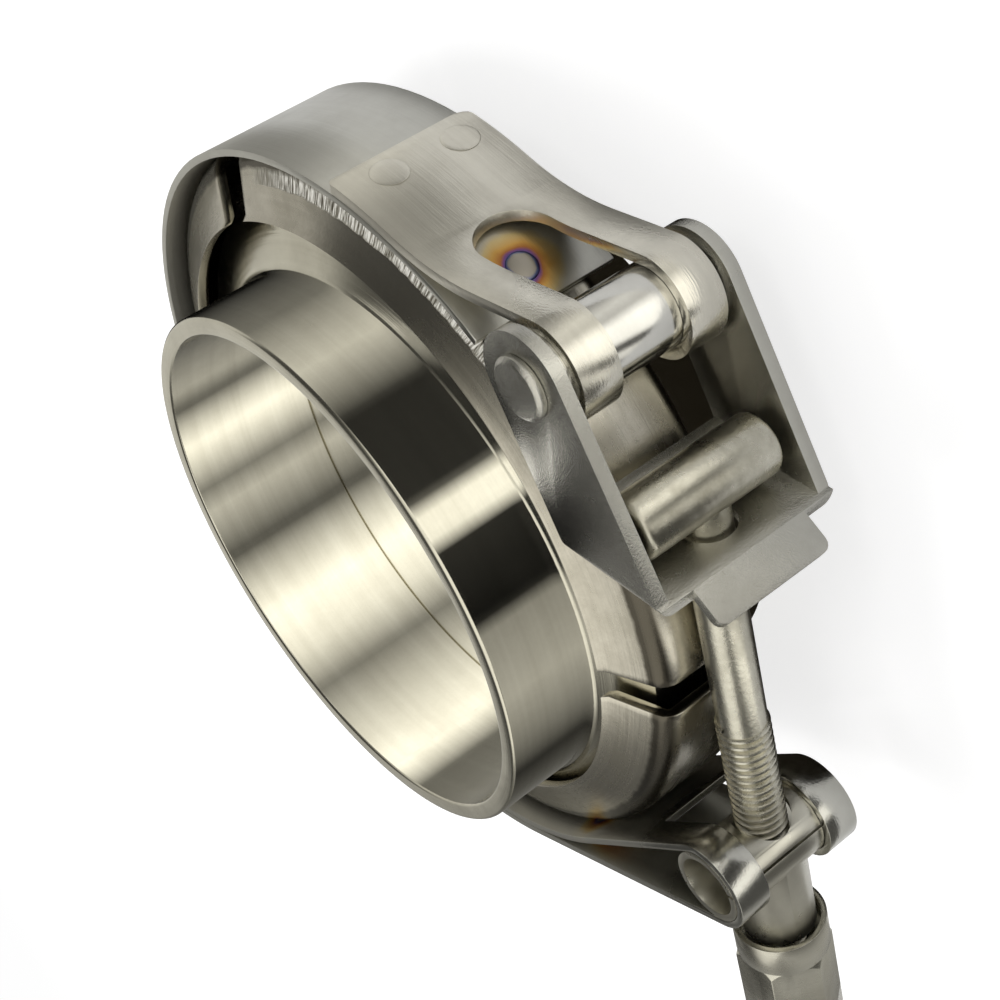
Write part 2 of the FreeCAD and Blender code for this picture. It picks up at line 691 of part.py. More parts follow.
def make_trunnion():
    body = new_body("trunnion", "trunnion_x", "bolt_y", "flange_height")
    neck = new_sketch(body, "Neck", "YZ_Plane")
    add_circle(neck, "neck_radius")
    pad(body, "NeckCylinder", neck, "Sizes.neck_length", reverse=True)
    tube = new_sketch(body, "Tube", "XY_Plane", "-Sizes.strap_width / 2")
    add_circle(tube, "trunnion_radius")
    pad(body, "TubeCylinder", tube, "Sizes.strap_width")
    bore = new_sketch(body, "TubeBore", "XY_Plane", "Sizes.strap_width / 2")
    add_circle(bore, "tube_bore")
    cut(body, "TubeBoreCut", bore, "Sizes.strap_width")
    passage = new_sketch(body, "BoltBore", "YZ_Plane", "Worked.trunnion_radius")
    add_circle(passage, "trunnion_bore_radius")
    cut(body, "BoltBoreCut", passage, "Worked.trunnion_radius + Sizes.neck_length")
    # the open seam of the rolled tube
    middle = size("seam_angle")
    side = polar(point(0, 0), size("seam_width") / 2, middle + 90)
    near = polar(point(0, 0), size("tube_bore") - size("tube_wall"), middle)
    far = polar(point(0, 0), size("trunnion_radius") + size("tube_wall"), middle)
    seam = new_sketch(body, "Seam", "XY_Plane", "Sizes.strap_width / 2")
    add_loop(seam, [near - side, far - side, far + side, near + side])
    cut(body, "SeamCut", seam, "Sizes.strap_width")
    return body


trunnion = make_trunnion()


# The nut: a cupped collar over the trunnion's neck, then a hexagon

def make_nut():
    body = new_body("nut", "nut_x", "bolt_y", "flange_height")
    collar = new_sketch(body, "Collar", "YZ_Plane")
    add_circle(collar, "collar_radius")
    pad(body, "CollarCylinder", collar, "Sizes.collar_length", reverse=True)
    hexagon = new_sketch(body, "Hexagon", "YZ_Plane", "-Sizes.collar_length")
    corner = size("hex_across_flats") / math.sqrt(3)
    add_loop(hexagon, [polar(point(0, 0), corner, 60 * step) for step in range(6)])
    pad(body, "HexagonPrism", hexagon, "Sizes.nut_length - Sizes.collar_length", reverse=True)
    cup = new_sketch(body, "Cup", "YZ_Plane")
    add_circle(cup, "cup_radius")
    cut(body, "CupCut", cup, "Sizes.cup_depth")
    bore = new_sketch(body, "ThreadBore", "YZ_Plane")
    add_circle(bore, "nut_bore")
    cut(body, "ThreadBoreCut", bore, "Sizes.nut_length")
    return body


nut = make_nut()

doc.recompute()
PIECES = [
    lower_flange, upper_flange, strap, v_segment_a, v_segment_b, v_segment_c, latch_tongue,
    pivot_sleeve, latch_pin, latch_frame, t_bolt, trunnion, nut,
]
for item in doc.Objects:
    if "Invalid" in item.State or "Error" in item.State:
        raise ValueError(f"{item.Label} failed: {item.State}")
for piece in PIECES:
    if piece.Shape.isNull() or not piece.Shape.isValid() or len(piece.Shape.Solids) != 1:
        raise ValueError(f"{piece.Label} is not one sound solid")

os.makedirs("parts", exist_ok=True)
for piece in PIECES:
    piece.Shape.exportStep(f"parts/{piece.Label}.step")
    print(f"{piece.Label}: {piece.Shape.Volume:.1f} mm3, {piece.Shape.BoundBox}")
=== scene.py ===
# %% [markdown]
# # A V band clamp on two exhaust flanges
#
# The clamp is a steel strap with three V-shaped segments welded inside it. A T-bolt and a small
# latch pull the strap tight, and the segments press the two flanges together. This script
# dresses the CAD model: it remakes each piece with rounded edges, gives it a metal finish, and
# then builds a small photo studio round it. Everything is in metres.

# %% Load the CAD model
import math

import bmesh
import bpy
from mathutils import Matrix, Vector


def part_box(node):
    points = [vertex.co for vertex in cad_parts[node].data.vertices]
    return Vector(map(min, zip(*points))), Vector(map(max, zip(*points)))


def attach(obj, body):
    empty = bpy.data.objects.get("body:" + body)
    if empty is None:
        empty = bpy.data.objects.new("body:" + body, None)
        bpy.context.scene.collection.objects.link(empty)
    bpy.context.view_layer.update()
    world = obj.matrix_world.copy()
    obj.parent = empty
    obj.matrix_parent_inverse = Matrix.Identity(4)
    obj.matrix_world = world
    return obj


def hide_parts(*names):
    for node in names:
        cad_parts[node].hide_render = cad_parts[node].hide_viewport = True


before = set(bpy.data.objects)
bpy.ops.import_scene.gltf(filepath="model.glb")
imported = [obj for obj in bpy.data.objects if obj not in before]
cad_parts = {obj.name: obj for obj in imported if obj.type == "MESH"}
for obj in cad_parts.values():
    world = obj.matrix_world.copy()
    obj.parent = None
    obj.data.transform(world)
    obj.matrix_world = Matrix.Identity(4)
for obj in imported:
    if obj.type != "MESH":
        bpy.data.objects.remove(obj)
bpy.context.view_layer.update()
MM = 0.001
print("CAD nodes:", sorted(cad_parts))

# %% [markdown]
# ## Sizes that the pieces share
#
# A new piece has to sit exactly where its CAD solid is. Most places are read from the CAD boxes,
# and the few that a box can't give, such as the clamp's own centre, are written once here. The
# flanges sit round the origin and the clamp a little off it, because it pulls to one side.

# %% Places and sizes
def middle(node):
    low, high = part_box(node)
    return (low + high) / 2


SHEET = 1.2 * MM  # thickness of the strap and of the tongue
STRAP_REACH = 46.718  # from the clamp's centre to the strap's outer side, in mm
BAR_RADIUS = 3.45 * MM
PIN = middle("latch_pin")
BAR = Vector((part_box("t_bolt")[1].x - BAR_RADIUS, middle("t_bolt").y, middle("t_bolt").z))
JOINT_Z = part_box("upper_flange")[0].z
CLAMP = Vector((2.6 * MM, 0.5 * MM, JOINT_Z))
TRUNNION = Vector((-26.3 * MM, BAR.y, JOINT_Z))
print("pin", PIN, "bar", BAR, "joint plane", JOINT_Z)

# %% [markdown]
# ## The camera
#
# A photograph's camera can be found by measuring where known points of the object fall in the
# picture. That gives its place, and the directions in which the picture's right, its lower edge
# and the view itself point. A Blender camera looks along its own minus Z with plus Y up, and its
# lens is the measured focal length in pixels, turned into millimetres on a 36 mm sensor.

# %% Place the camera
CAMERA_PLACE = Vector((124.698, -158.058, 102.440)) * MM
PICTURE_RIGHT = (-0.2119, -0.6071, -0.7658)
PICTURE_DOWN = (-0.7865, -0.3592, 0.5024)
VIEW_AHEAD = (-0.5801, 0.7088, -0.4014)
FOCAL_PIXELS = 1797.58
PICTURE_WIDTH = 1000
SENSOR = 36


def add_camera(place, right, down, ahead, focal):
    data = bpy.data.cameras.new("view_camera")
    camera = bpy.data.objects.new("view_camera", data)
    bpy.context.scene.collection.objects.link(camera)
    turn = Matrix((Vector(right), -Vector(down), -Vector(ahead))).transposed().to_quaternion()
    camera.matrix_world = Matrix.Translation(place) @ turn.to_matrix().to_4x4()
    data.sensor_width = SENSOR
    data.lens = focal
    data.clip_start = 0.005
    bpy.context.scene.camera = camera
    return camera


camera = add_camera(
    CAMERA_PLACE, PICTURE_RIGHT, PICTURE_DOWN, VIEW_AHEAD, FOCAL_PIXELS * SENSOR / PICTURE_WIDTH)
print("lens", round(camera.data.lens, 2), "mm")

# %% [markdown]
# ## Small helpers for modelling as by hand
#
# Blender's operators act on whatever is selected, so each step starts by selecting nothing. The
# helper `choose` selects faces, edges or corners by a test on their place, as a person would
# pick them by eye.

# %% Helpers
def start_fresh():
    if bpy.context.mode != "OBJECT":
        bpy.ops.object.mode_set(mode="OBJECT")
    bpy.ops.object.select_all(action="DESELECT")


def only(piece):
    start_fresh()
    piece.select_set(True)
    bpy.context.view_layer.objects.active = piece


def edit(piece):
    only(piece)
    bpy.ops.object.mode_set(mode="EDIT")


def choose(piece, kind, test):
    """In edit mode, select the corners, edges or faces that pass a test, and count them."""
    bpy.ops.mesh.select_mode(type={"verts": "VERT", "edges": "EDGE", "faces": "FACE"}[kind])
    bpy.ops.mesh.select_all(action="DESELECT")
    shape = bmesh.from_edit_mesh(piece.data)
    picked = [item for item in getattr(shape, kind) if test(item)]
    for item in picked:
        item.select_set(True)
    bmesh.update_edit_mesh(piece.data)
    return len(picked)


def tidy_mesh(piece, merge=1e-6):
    """Join doubled corners and turn every face outwards."""
    edit(piece)
    bpy.ops.mesh.select_all(action="SELECT")
    bpy.ops.mesh.remove_doubles(threshold=merge)
    bpy.ops.mesh.normals_make_consistent(inside=False)
    bpy.ops.object.mode_set(mode="OBJECT")


def apply_place(piece):
    only(piece)
    bpy.ops.object.transform_apply(location=True, rotation=True, scale=True)


SHARP = 30  # degrees; an edge that turns by more gets a bevel


def round_edges(piece, width, segments=2):
    """A bevel on the sharp edges, which gives metal its thin bright lines."""
    only(piece)
    bevel = piece.modifiers.new("rounded", "BEVEL")
    bevel.width = width
    bevel.segments = segments
    bevel.limit_method = "ANGLE"
    bevel.angle_limit = math.radians(SHARP)
    bpy.ops.object.modifier_apply(modifier=bevel.name)


def smooth(piece, angle=32):
    only(piece)
    bpy.ops.object.shade_smooth_by_angle(angle=math.radians(angle))


def finish_piece(piece, body, slot, *nodes):
    """Ride on a body and stand for the CAD nodes named. The slot is not used."""
    start_fresh()
    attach(piece, body)
    if nodes:
        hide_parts(*nodes)
    print(f"{piece.name}: {len(piece.data.polygons)} faces, rides on {body}")


# %% [markdown]
# A turned part is drawn as half a section and spun round an axis, as on a lathe. The helper
# below starts from a circle primitive with as many corners as the section has, moves them to the
# section's corners, rounds the ones that ask for it, and spins the outline. A part turn, such as
# a V segment, gets its two ends filled.

# %% Helper for turned pieces
def spun(name, section, centre, degrees=360, steps=180, start=0, rounded=(), radius=0.0):
    """Section corners are (reach from the axis, height), in mm, about a Z axis at the centre."""
    start_fresh()
    bpy.ops.mesh.primitive_circle_add(vertices=len(section), fill_type="NOTHING")
    piece = bpy.context.active_object
    piece.name = name
    facing = Vector((math.cos(math.radians(start)), math.sin(math.radians(start)), 0))
    for corner, (reach, height) in zip(piece.data.vertices, section):
        corner.co = centre + facing * reach * MM + Vector((0, 0, height * MM))
    if rounded:
        edit(piece)
        places = [piece.data.vertices[index].co.copy() for index in rounded]
        choose(piece, "verts", lambda v: any((v.co - place).length < 1e-7 for place in places))
        bpy.ops.mesh.bevel(offset=radius * MM, segments=4, affect="VERTICES")
    edit(piece)
    bpy.ops.mesh.select_all(action="SELECT")
    if degrees < 360:
        bpy.ops.mesh.edge_face_add()
    bpy.ops.mesh.spin(
        steps=steps, angle=math.radians(degrees), center=centre, axis=(0, 0, 1),
        use_auto_merge=False,
    )
    tidy_mesh(piece)
    return piece


# %% [markdown]
# A bent sheet with slots, such as the latch frame, is already right in the CAD model. It needs
# only rounded edges. The CAD node itself is never changed, so the helper works on a copy: it
# joins the copy's loose triangles, dissolves the lines inside flat faces and bevels the rest.

# %% Helper for copies of CAD nodes
CORNER_SEARCH = 1.4 * MM


def crosses_sheet(edge):
    """True for an edge that runs through a sheet's thickness, more or less along X."""
    step = edge.verts[1].co - edge.verts[0].co
    return abs(step.length - SHEET) < 0.2 * MM and abs(step.x) > 0.7 * step.length


def from_cad(node, name, edge, segments=2, corners=()):
    """A copy of a CAD node with its edges rounded. A corner is a place and a radius, in mm."""
    only(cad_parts[node])
    bpy.ops.object.duplicate()
    piece = bpy.context.active_object
    piece.name = name
    piece.parent = None
    # the copy drops what the frame noted on the node, because it is a piece of its own
    for key in [key for key in piece.keys() if key.startswith("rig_")]:
        del piece[key]
    edit(piece)
    bpy.ops.mesh.select_all(action="SELECT")
    bpy.ops.mesh.remove_doubles(threshold=2e-6)
    bpy.ops.mesh.dissolve_limited(angle_limit=math.radians(0.8))
    for place, width in corners:
        spot = Vector(place) * MM
        found = choose(piece, "edges", lambda e: crosses_sheet(e) and all(
            (v.co - spot).length < CORNER_SEARCH for v in e.verts))
        if found:
            bpy.ops.mesh.bevel(offset=width * MM, segments=4, affect="EDGES")
        print(f"{name}: {found} corner edges rounded near {place}")
    bpy.ops.object.mode_set(mode="OBJECT")
    piece.data.materials.clear()
    round_edges(piece, edge * MM, segments)
    return piece


# %% [markdown]
# ## The flanges
#
# Each flange is turned from bar: a short neck that is welded to the exhaust tube, and a rim
# whose back is a 20 degree cone. The lathe leaves a tiny chamfer at the mouth and at the joint,
# so the section has those corners, and the shoulder between neck and cone is rounded.

# %% Model the flanges
SHOULDER = 3  # the corner where the cone meets the neck
SHOULDER_RADIUS = 0.9
FLANGE = [
    (32.05, 0), (41.7, 0), (41.7, 5.2), (34.0, 8.0), (34.0, 18.8), (33.7, 19.1),
    (31.95, 19.1), (31.75, 18.9), (31.75, 0.3),
]
flanges = []
for side, up in (("upper", 1), ("lower", -1)):
    section = [(reach, up * height) for reach, height in FLANGE]
    flange = spun(
        f"{side}_pipe_flange", section, Vector((0, 0, JOINT_Z)), rounded=(SHOULDER,),
        radius=SHOULDER_RADIUS,
    )
    round_edges(flange, 0.12 * MM)
    smooth(flange)
    finish_piece(flange, "band", "flange_steel", f"{side}_flange")
    flanges.append(flange)

# %% [markdown]
# ## The V segments
#
# A segment is strip pressed into a V: a crown under the strap, two legs that lie on the flanges'
# cones, and a small lip turned out at the end of each leg. One closed section is spun through
# 113 degrees three times, and the bend at the crown is rounded in the section before the spin.

# %% Model the V segments
LEG = [
    (45.768, 6.158), (38.848, 8.676), (38.248, 9.376), (38.248, 7.993), (38.848, 7.293),
    (44.468, 5.247),
]
V_SECTION = LEG + [(reach, -height) for reach, height in reversed(LEG)]
CROWN_BENDS = (0, len(V_SECTION) - 1)
CROWN_RADIUS = 1.7
SEGMENT_DEGREES = 113
MIDDLES = {"a": -38.25, "b": -157.0, "c": 84.5}
segments = []
for letter, bearing in MIDDLES.items():
    segment = spun(
        f"pressed_segment_{letter}", V_SECTION, CLAMP, degrees=SEGMENT_DEGREES, steps=90,
        start=bearing + SEGMENT_DEGREES / 2, rounded=CROWN_BENDS, radius=CROWN_RADIUS,
    )
    round_edges(segment, 0.15 * MM)
    smooth(segment)
    finish_piece(segment, "band", "segment_steel", f"v_segment_{letter}")
    segments.append(segment)

# %% [markdown]
# ## Strap, trunnion, latch frame and tongue
#
# These are cut and bent from sheet. Their bends and slots come from the CAD copies, and a small
# bevel makes the sheared edges catch the light. The blanking tool also leaves two rounded corners
# on the latch frame's lip and two on the tongue, each with its own radius.

# %% Copies of the sheet pieces
LIP_CORNERS = [((14.8, -57.4, 26.4), 1.1), ((14.8, -57.4, 11.8), 1.1)]
TONGUE_CORNERS = [((48.9, -9.4, 10.2), 1.9), ((48.9, -9.4, 28.0), 0.7)]
strap = from_cad("strap", "outer_strap", 0.12)
smooth(strap)
finish_piece(strap, "band", "strap_steel", "strap")
trunnion = from_cad("trunnion", "rolled_trunnion", 0.14)
smooth(trunnion)
finish_piece(trunnion, "swivel", "trunnion_steel", "trunnion")
latch = from_cad("latch_frame", "latch_side_frame", 0.22, segments=3, corners=LIP_CORNERS)
smooth(latch)
finish_piece(latch, "latch", "latch_steel", "latch_frame")
tongue = from_cad("latch_tongue", "rolled_tongue", 0.14, corners=TONGUE_CORNERS)
smooth(tongue)
finish_piece(tongue, "band", "strap_steel", "latch_tongue")

# %% [markdown]
# ## Sleeve and pin
#
# The tongue's legs are rolled round a hardened sleeve, and a headed pin passes through it. Both
# are turned, so both are spun from a section about the pin's axis.

# %% Model the sleeve and the pin
PIN_AXIS = Vector((PIN.x, PIN.y, JOINT_Z))
half = (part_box("pivot_sleeve")[1].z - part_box("pivot_sleeve")[0].z) / 2 / MM
SLEEVE_SECTION = [(2.85, -half), (4.4, -half), (4.4, half), (2.85, half)]
sleeve = spun("hardened_sleeve", SLEEVE_SECTION, PIN_AXIS, steps=96)
round_edges(sleeve, 0.25 * MM, 3)
smooth(sleeve)
finish_piece(sleeve, "band", "latch_steel", "pivot_sleeve")
head = (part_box("latch_pin")[1].z - JOINT_Z) / MM
tail = (JOINT_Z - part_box("latch_pin")[0].z) / MM
PIN_SECTION = [
    (0, -tail), (2.9, -tail), (3.4, -tail + 0.4), (3.4, -11.4), (2.8, -11.4), (2.8, 11.4),
    (3.4, 11.4), (3.4, head - 0.4), (2.9, head), (0, head),
]
pin = spun("headed_pin", PIN_SECTION, PIN_AXIS, steps=72)
round_edges(pin, 0.12 * MM)
smooth(pin)
finish_piece(pin, "latch", "latch_steel", "latch_pin")

# %% [markdown]
# ## The T-bolt
#
# The bolt is a plain shank with a crossbar, and its thread is rolled. The bar is a cylinder
# primitive whose end edges are bevelled round; its lower end stops a little short of the CAD
# solid's, as in the photograph. The thread is real: a small ridge is swept along a helix by the
# Screw modifier, one turn for each millimetre, over a core of the root's size.

# %% Model the crossbar and shank
def cylinder_x(name, radius, x_low, x_high, sides):
    """A round bar along X on the bolt's axis, from one x to another, in metres."""
    start_fresh()
    bpy.ops.mesh.primitive_cylinder_add(
        vertices=sides, radius=radius, depth=x_high - x_low, end_fill_type="NGON",
        location=((x_low + x_high) / 2, BAR.y, JOINT_Z), rotation=(0, math.pi / 2, 0),
    )
    piece = bpy.context.active_object
    piece.name = name
    apply_place(piece)
    return piece


BOLT_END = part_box("t_bolt")[0].x
THREAD_START = TRUNNION.x + 19.4 * MM
SHANK_RADIUS = 2.72 * MM
CORE_RADIUS = 2.42 * MM
BAR_END_ROUND = 0.9 * MM
BAR_SHORTER = 0.9 * MM
bar_low, bar_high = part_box("t_bolt")[0].z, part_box("t_bolt")[1].z
start_fresh()
bpy.ops.mesh.primitive_cylinder_add(
    vertices=72, radius=BAR_RADIUS, depth=bar_high - bar_low - BAR_SHORTER,
    location=(BAR.x, BAR.y, JOINT_Z + BAR_SHORTER / 2))
bar = bpy.context.active_object
bar.name = "bolt_crossbar"
apply_place(bar)
edit(bar)
ends = choose(bar, "edges", lambda e: abs(e.verts[0].co.z - e.verts[1].co.z) < 1e-7)
bpy.ops.mesh.bevel(offset=BAR_END_ROUND, segments=5, affect="EDGES")
print("edges rounded on the bar:", ends)
shank = cylinder_x("bolt_shank", SHANK_RADIUS, THREAD_START - 1.5 * MM, BAR.x - 1.0 * MM, 64)
core = cylinder_x("bolt_core", CORE_RADIUS, BOLT_END, THREAD_START, 48)
edit(core)
choose(core, "edges", lambda e: all(abs(v.co.x - BOLT_END) < 1e-7 for v in e.verts))
bpy.ops.mesh.bevel(offset=0.3 * MM, segments=2, affect="EDGES")

# %% Sweep the thread
PITCH = 1.0 * MM
TURNS = int((THREAD_START - BOLT_END) / PITCH) - 1
STEPS_A_TURN = 28
FIRST_RIDGE = BOLT_END + 0.3 * MM
# along the bolt and out from its axis, in mm; the ridge's foot lies just inside the core
RIDGE = [(0.0, 2.36), (0.30, 2.95), (0.60, 2.95), (0.90, 2.36)]
start_fresh()
bpy.ops.mesh.primitive_circle_add(vertices=4, fill_type="NGON")
thread = bpy.context.active_object
thread.name = "bolt_thread"
for corner, (along, reach) in zip(thread.data.vertices, RIDGE):
    corner.co = Vector((FIRST_RIDGE + along * MM, 0, reach * MM))
only(thread)
screw = thread.modifiers.new("helix", "SCREW")
screw.axis = "X"
screw.angle = math.tau
screw.iterations = TURNS
screw.screw_offset = PITCH
screw.steps = STEPS_A_TURN
screw.render_steps = STEPS_A_TURN
screw.use_merge_vertices = False
bpy.ops.object.modifier_apply(modifier=screw.name)
thread.location = (0, BAR.y, JOINT_Z)
apply_place(thread)
tidy_mesh(thread, 1e-7)
print("thread turns:", TURNS, "faces:", len(thread.data.polygons))

# %% Join the bolt
start_fresh()
for part in (shank, core, thread, bar):
    part.select_set(True)
bpy.context.view_layer.objects.active = bar
bpy.ops.object.join()
t_bolt = bpy.context.active_object
t_bolt.name = "t_headed_bolt"
smooth(t_bolt, 28)
finish_piece(t_bolt, "bolt", "bolt_steel", "t_bolt")

# %% [markdown]
# ## The nut
#
# The nut has a cupped collar that runs over the trunnion's neck, and then a hexagon. A real
# hexagon nut is turned first and milled flat afterwards, so that is how it is made here: a bar
# with chamfered ends, then six cuts with the bisect tool that leave the curved corners.

# %% Model the nut
nut_low, nut_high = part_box("nut")[0].x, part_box("nut")[1].x
CORNER_REACH, FLAT_REACH = 5.77, 5.0
COLLAR_REACH, COLLAR_LENGTH = 5.5, 4.2
CUP_REACH, CUP_DEPTH = 4.8, 2.9
HOLE_REACH = 3.05
hexagon = cylinder_x(
    "hexagon", CORNER_REACH * MM, nut_low, nut_high - COLLAR_LENGTH * MM, 96)
edit(hexagon)
choose(hexagon, "edges", lambda e: abs(e.verts[0].co.x - e.verts[1].co.x) < 1e-7)
bpy.ops.mesh.bevel(offset=0.75 * MM, segments=1, affect="EDGES")
for step in range(6):
    bearing = math.radians(30 + 60 * step)
    away = Vector((0, math.cos(bearing), math.sin(bearing)))
    bpy.ops.mesh.select_all(action="SELECT")
    bpy.ops.mesh.bisect(
        plane_co=Vector((nut_low, BAR.y, JOINT_Z)) + away * FLAT_REACH * MM, plane_no=away,
        use_fill=True, clear_outer=True,
    )
bpy.ops.object.mode_set(mode="OBJECT")
COLLAR = [
    (HOLE_REACH, -COLLAR_LENGTH), (COLLAR_REACH, -COLLAR_LENGTH), (COLLAR_REACH, 0),
    (CUP_REACH, 0), (CUP_REACH, -CUP_DEPTH), (HOLE_REACH, -CUP_DEPTH),
]
collar = spun("collar", COLLAR, Vector((0, 0, 0)), steps=96)
collar.rotation_euler = (0, math.pi / 2, 0)
collar.location = (nut_high, BAR.y, JOINT_Z)
apply_place(collar)
bore = cylinder_x("bore", HOLE_REACH * MM, nut_low - 1 * MM, nut_high, 48)
only(hexagon)
hole = hexagon.modifiers.new("hole", "BOOLEAN")
hole.operation = "DIFFERENCE"
hole.object = bore
bpy.ops.object.modifier_apply(modifier=hole.name)
bpy.data.objects.remove(bore)
start_fresh()
collar.select_set(True)
hexagon.select_set(True)
bpy.context.view_layer.objects.active = hexagon
bpy.ops.object.join()
nut = bpy.context.active_object
nut.name = "cupped_nut"
round_edges(nut, 0.18 * MM, 2)
smooth(nut, 28)
finish_piece(nut, "nut", "nut_steel", "nut")

# %% [markdown]
# ## Spot welds
#
# Two low bumps show where the tongue is spot welded to the strap, and a third one, the nugget,
# shows on the strap inside the tongue's window. Each is a dome from a sphere primitive, flattened
# and turned to lie on its sheet.

# %% Model the spot welds
def weld(name, place, radius, rise):
    """A low dome on the sheet that faces away from the clamp's centre."""
    out = Vector((place.x - CLAMP.x, place.y - CLAMP.y, 0)).normalized()
    start_fresh()
    bpy.ops.mesh.primitive_uv_sphere_add(segments=40, ring_count=20, radius=radius)
    dome = bpy.context.active_object
    dome.name = name
    turn = Vector((0, 0, 1)).rotation_difference(out).to_matrix().to_4x4()
    flat = Matrix.Diagonal((1, 1, rise / radius, 1))
    dome.matrix_world = Matrix.Translation(place) @ turn @ flat
    apply_place(dome)
    smooth(dome, 60)
    finish_piece(dome, "band", "strap_steel")
    return dome


def on_band(reach, bearing, z):
    """A point at a reach and bearing from the clamp's centre, in mm and degrees."""
    angle = math.radians(bearing)
    x = CLAMP.x + reach * MM * math.cos(angle)
    y = CLAMP.y + reach * MM * math.sin(angle)
    return Vector((x, y, z * MM))


WELD_GAP = 0.05
TONGUE_REACH = STRAP_REACH + WELD_GAP + SHEET / MM
WELDS = [
    weld("tongue_weld_upper", on_band(TONGUE_REACH, -15.8, 22.5), 2.1 * MM, 0.16 * MM),
    weld("tongue_weld_lower", on_band(TONGUE_REACH, -16.4, 13.8), 2.1 * MM, 0.16 * MM),
]
NUGGET = on_band(STRAP_REACH, -35.9, 18.9)
nugget = weld("strap_nugget", NUGGET, 1.75 * MM, 0.35 * MM)

# %% [markdown]
# ## Finishes: effects that several metals share
#
# Bare steel takes nearly all its look from what it reflects, so its finish lies in its
# roughness and in the tiny lines and pits that bend the reflection. Each effect is a node group,
# built once and placed in each metal with its own values.

# %% Node helpers
def add(tree, kind, values=None, **settings):
    made = tree.nodes.new(kind)
    for name, value in settings.items():
        setattr(made, name, value)
    for socket, value in (values or {}).items():
        made.inputs[socket].default_value = value
    return made


def new_group(name, takes, gives):
    """A node group with named inputs (kind, default) and named outputs."""
    group = bpy.data.node_groups.new(name, "ShaderNodeTree")
    for label, (kind, default) in takes.items():
        socket = group.interface.new_socket(label, in_out="INPUT", socket_type=kind)
        socket.default_value = default
    for label, kind in gives.items():
        group.interface.new_socket(label, in_out="OUTPUT", socket_type=kind)
    return group, group.nodes.new("NodeGroupInput"), group.nodes.new("NodeGroupOutput")


def place_group(tree, group, values=None):
    made = tree.nodes.new("ShaderNodeGroup")
    made.node_tree = group
    for label, value in (values or {}).items():
        made.inputs[label].default_value = value
    return made


def math_node(tree, operation, *values):
    """One step of arithmetic, on numbers or on other nodes' outputs."""
    made = add(tree, "ShaderNodeMath", operation=operation)
    for index, value in enumerate(values):
        if isinstance(value, (int, float)):
            made.inputs[index].default_value = value
        else:
            tree.links.new(value, made.inputs[index])
    return made.outputs[0]


def grows(tree, value, low, high):
    """0 below the low value, 1 above the high one."""
    made = add(tree, "ShaderNodeMapRange", {"From Min": low, "From Max": high})
    tree.links.new(value, made.inputs["Value"])
    return made.outputs[0]


def fades(tree, value, low, high, most=1.0):
    """The most below the low value, 0 above the high one."""
    made = add(tree, "ShaderNodeMapRange", {
        "From Min": low, "From Max": high, "To Min": most, "To Max": 0.0})
    tree.links.new(value, made.inputs["Value"])
    return made.outputs[0]


# %% [markdown]
# `round_place` turns a point's place into how far round, how far out and how high it is about an
# upright axis. Lines drawn with these three numbers run round a turned or rolled piece.

# %% Group: place round an axis
ARC_REACH = 0.04  # the reach at which one radian of turn counts as its true length, in metres
round_place, source, result = new_group(
    "round_place", {"Centre": ("NodeSocketVector", (0, 0, 0))}, {"Place": "NodeSocketVector"})
coords = add(round_place, "ShaderNodeTexCoord")
offset = add(round_place, "ShaderNodeVectorMath", operation="SUBTRACT")
round_place.links.new(coords.outputs["Object"], offset.inputs[0])
round_place.links.new(source.outputs["Centre"], offset.inputs[1])
parts = add(round_place, "ShaderNodeSeparateXYZ")
round_place.links.new(offset.outputs[0], parts.inputs[0])
angle = math_node(round_place, "ARCTAN2", parts.outputs[1], parts.outputs[0])
arc = math_node(round_place, "MULTIPLY", angle, ARC_REACH)
flat = add(round_place, "ShaderNodeVectorMath", {1: (1, 1, 0)}, operation="MULTIPLY")
round_place.links.new(offset.outputs[0], flat.inputs[0])
reach = add(round_place, "ShaderNodeVectorMath", operation="LENGTH")
round_place.links.new(flat.outputs[0], reach.inputs[0])
joined = add(round_place, "ShaderNodeCombineXYZ")
round_place.links.new(arc, joined.inputs[0])
round_place.links.new(reach.outputs["Value"], joined.inputs[1])
round_place.links.new(parts.outputs[2], joined.inputs[2])
round_place.links.new(joined.outputs[0], result.inputs["Place"])

# %% [markdown]
# `fine_lines` stretches noise along one direction, which reads as brushing or lathe rings. It
# gives a value for the roughness and colour, and a height for the bump.

# %% Group: brushed lines
fine_lines, source, result = new_group(
    "fine_lines",
    {"Place": ("NodeSocketVector", (0, 0, 0)), "Stretch": ("NodeSocketVector", (30, 2500, 2500))},
    {"Lines": "NodeSocketFloat", "Streaks": "NodeSocketFloat"},
)
stretched = add(fine_lines, "ShaderNodeVectorMath", operation="MULTIPLY")
fine_lines.links.new(source.outputs["Place"], stretched.inputs[0])
fine_lines.links.new(source.outputs["Stretch"], stretched.inputs[1])
lines = add(fine_lines, "ShaderNodeTexNoise", {"Scale": 1.0, "Detail": 3.0, "Roughness": 0.6})
fine_lines.links.new(stretched.outputs[0], lines.inputs["Vector"])
fine_lines.links.new(lines.outputs[0], result.inputs["Lines"])
wide = add(fine_lines, "ShaderNodeTexNoise", {"Scale": 0.16, "Detail": 4.0, "Roughness": 0.7})
fine_lines.links.new(stretched.outputs[0], wide.inputs["Vector"])
fine_lines.links.new(grows(fine_lines, wide.outputs[0], 0.32, 0.68), result.inputs["Streaks"])

# %% [markdown]
# `scuffs` gives the faint marks of handling: small pits and a soft uneven tarnish.

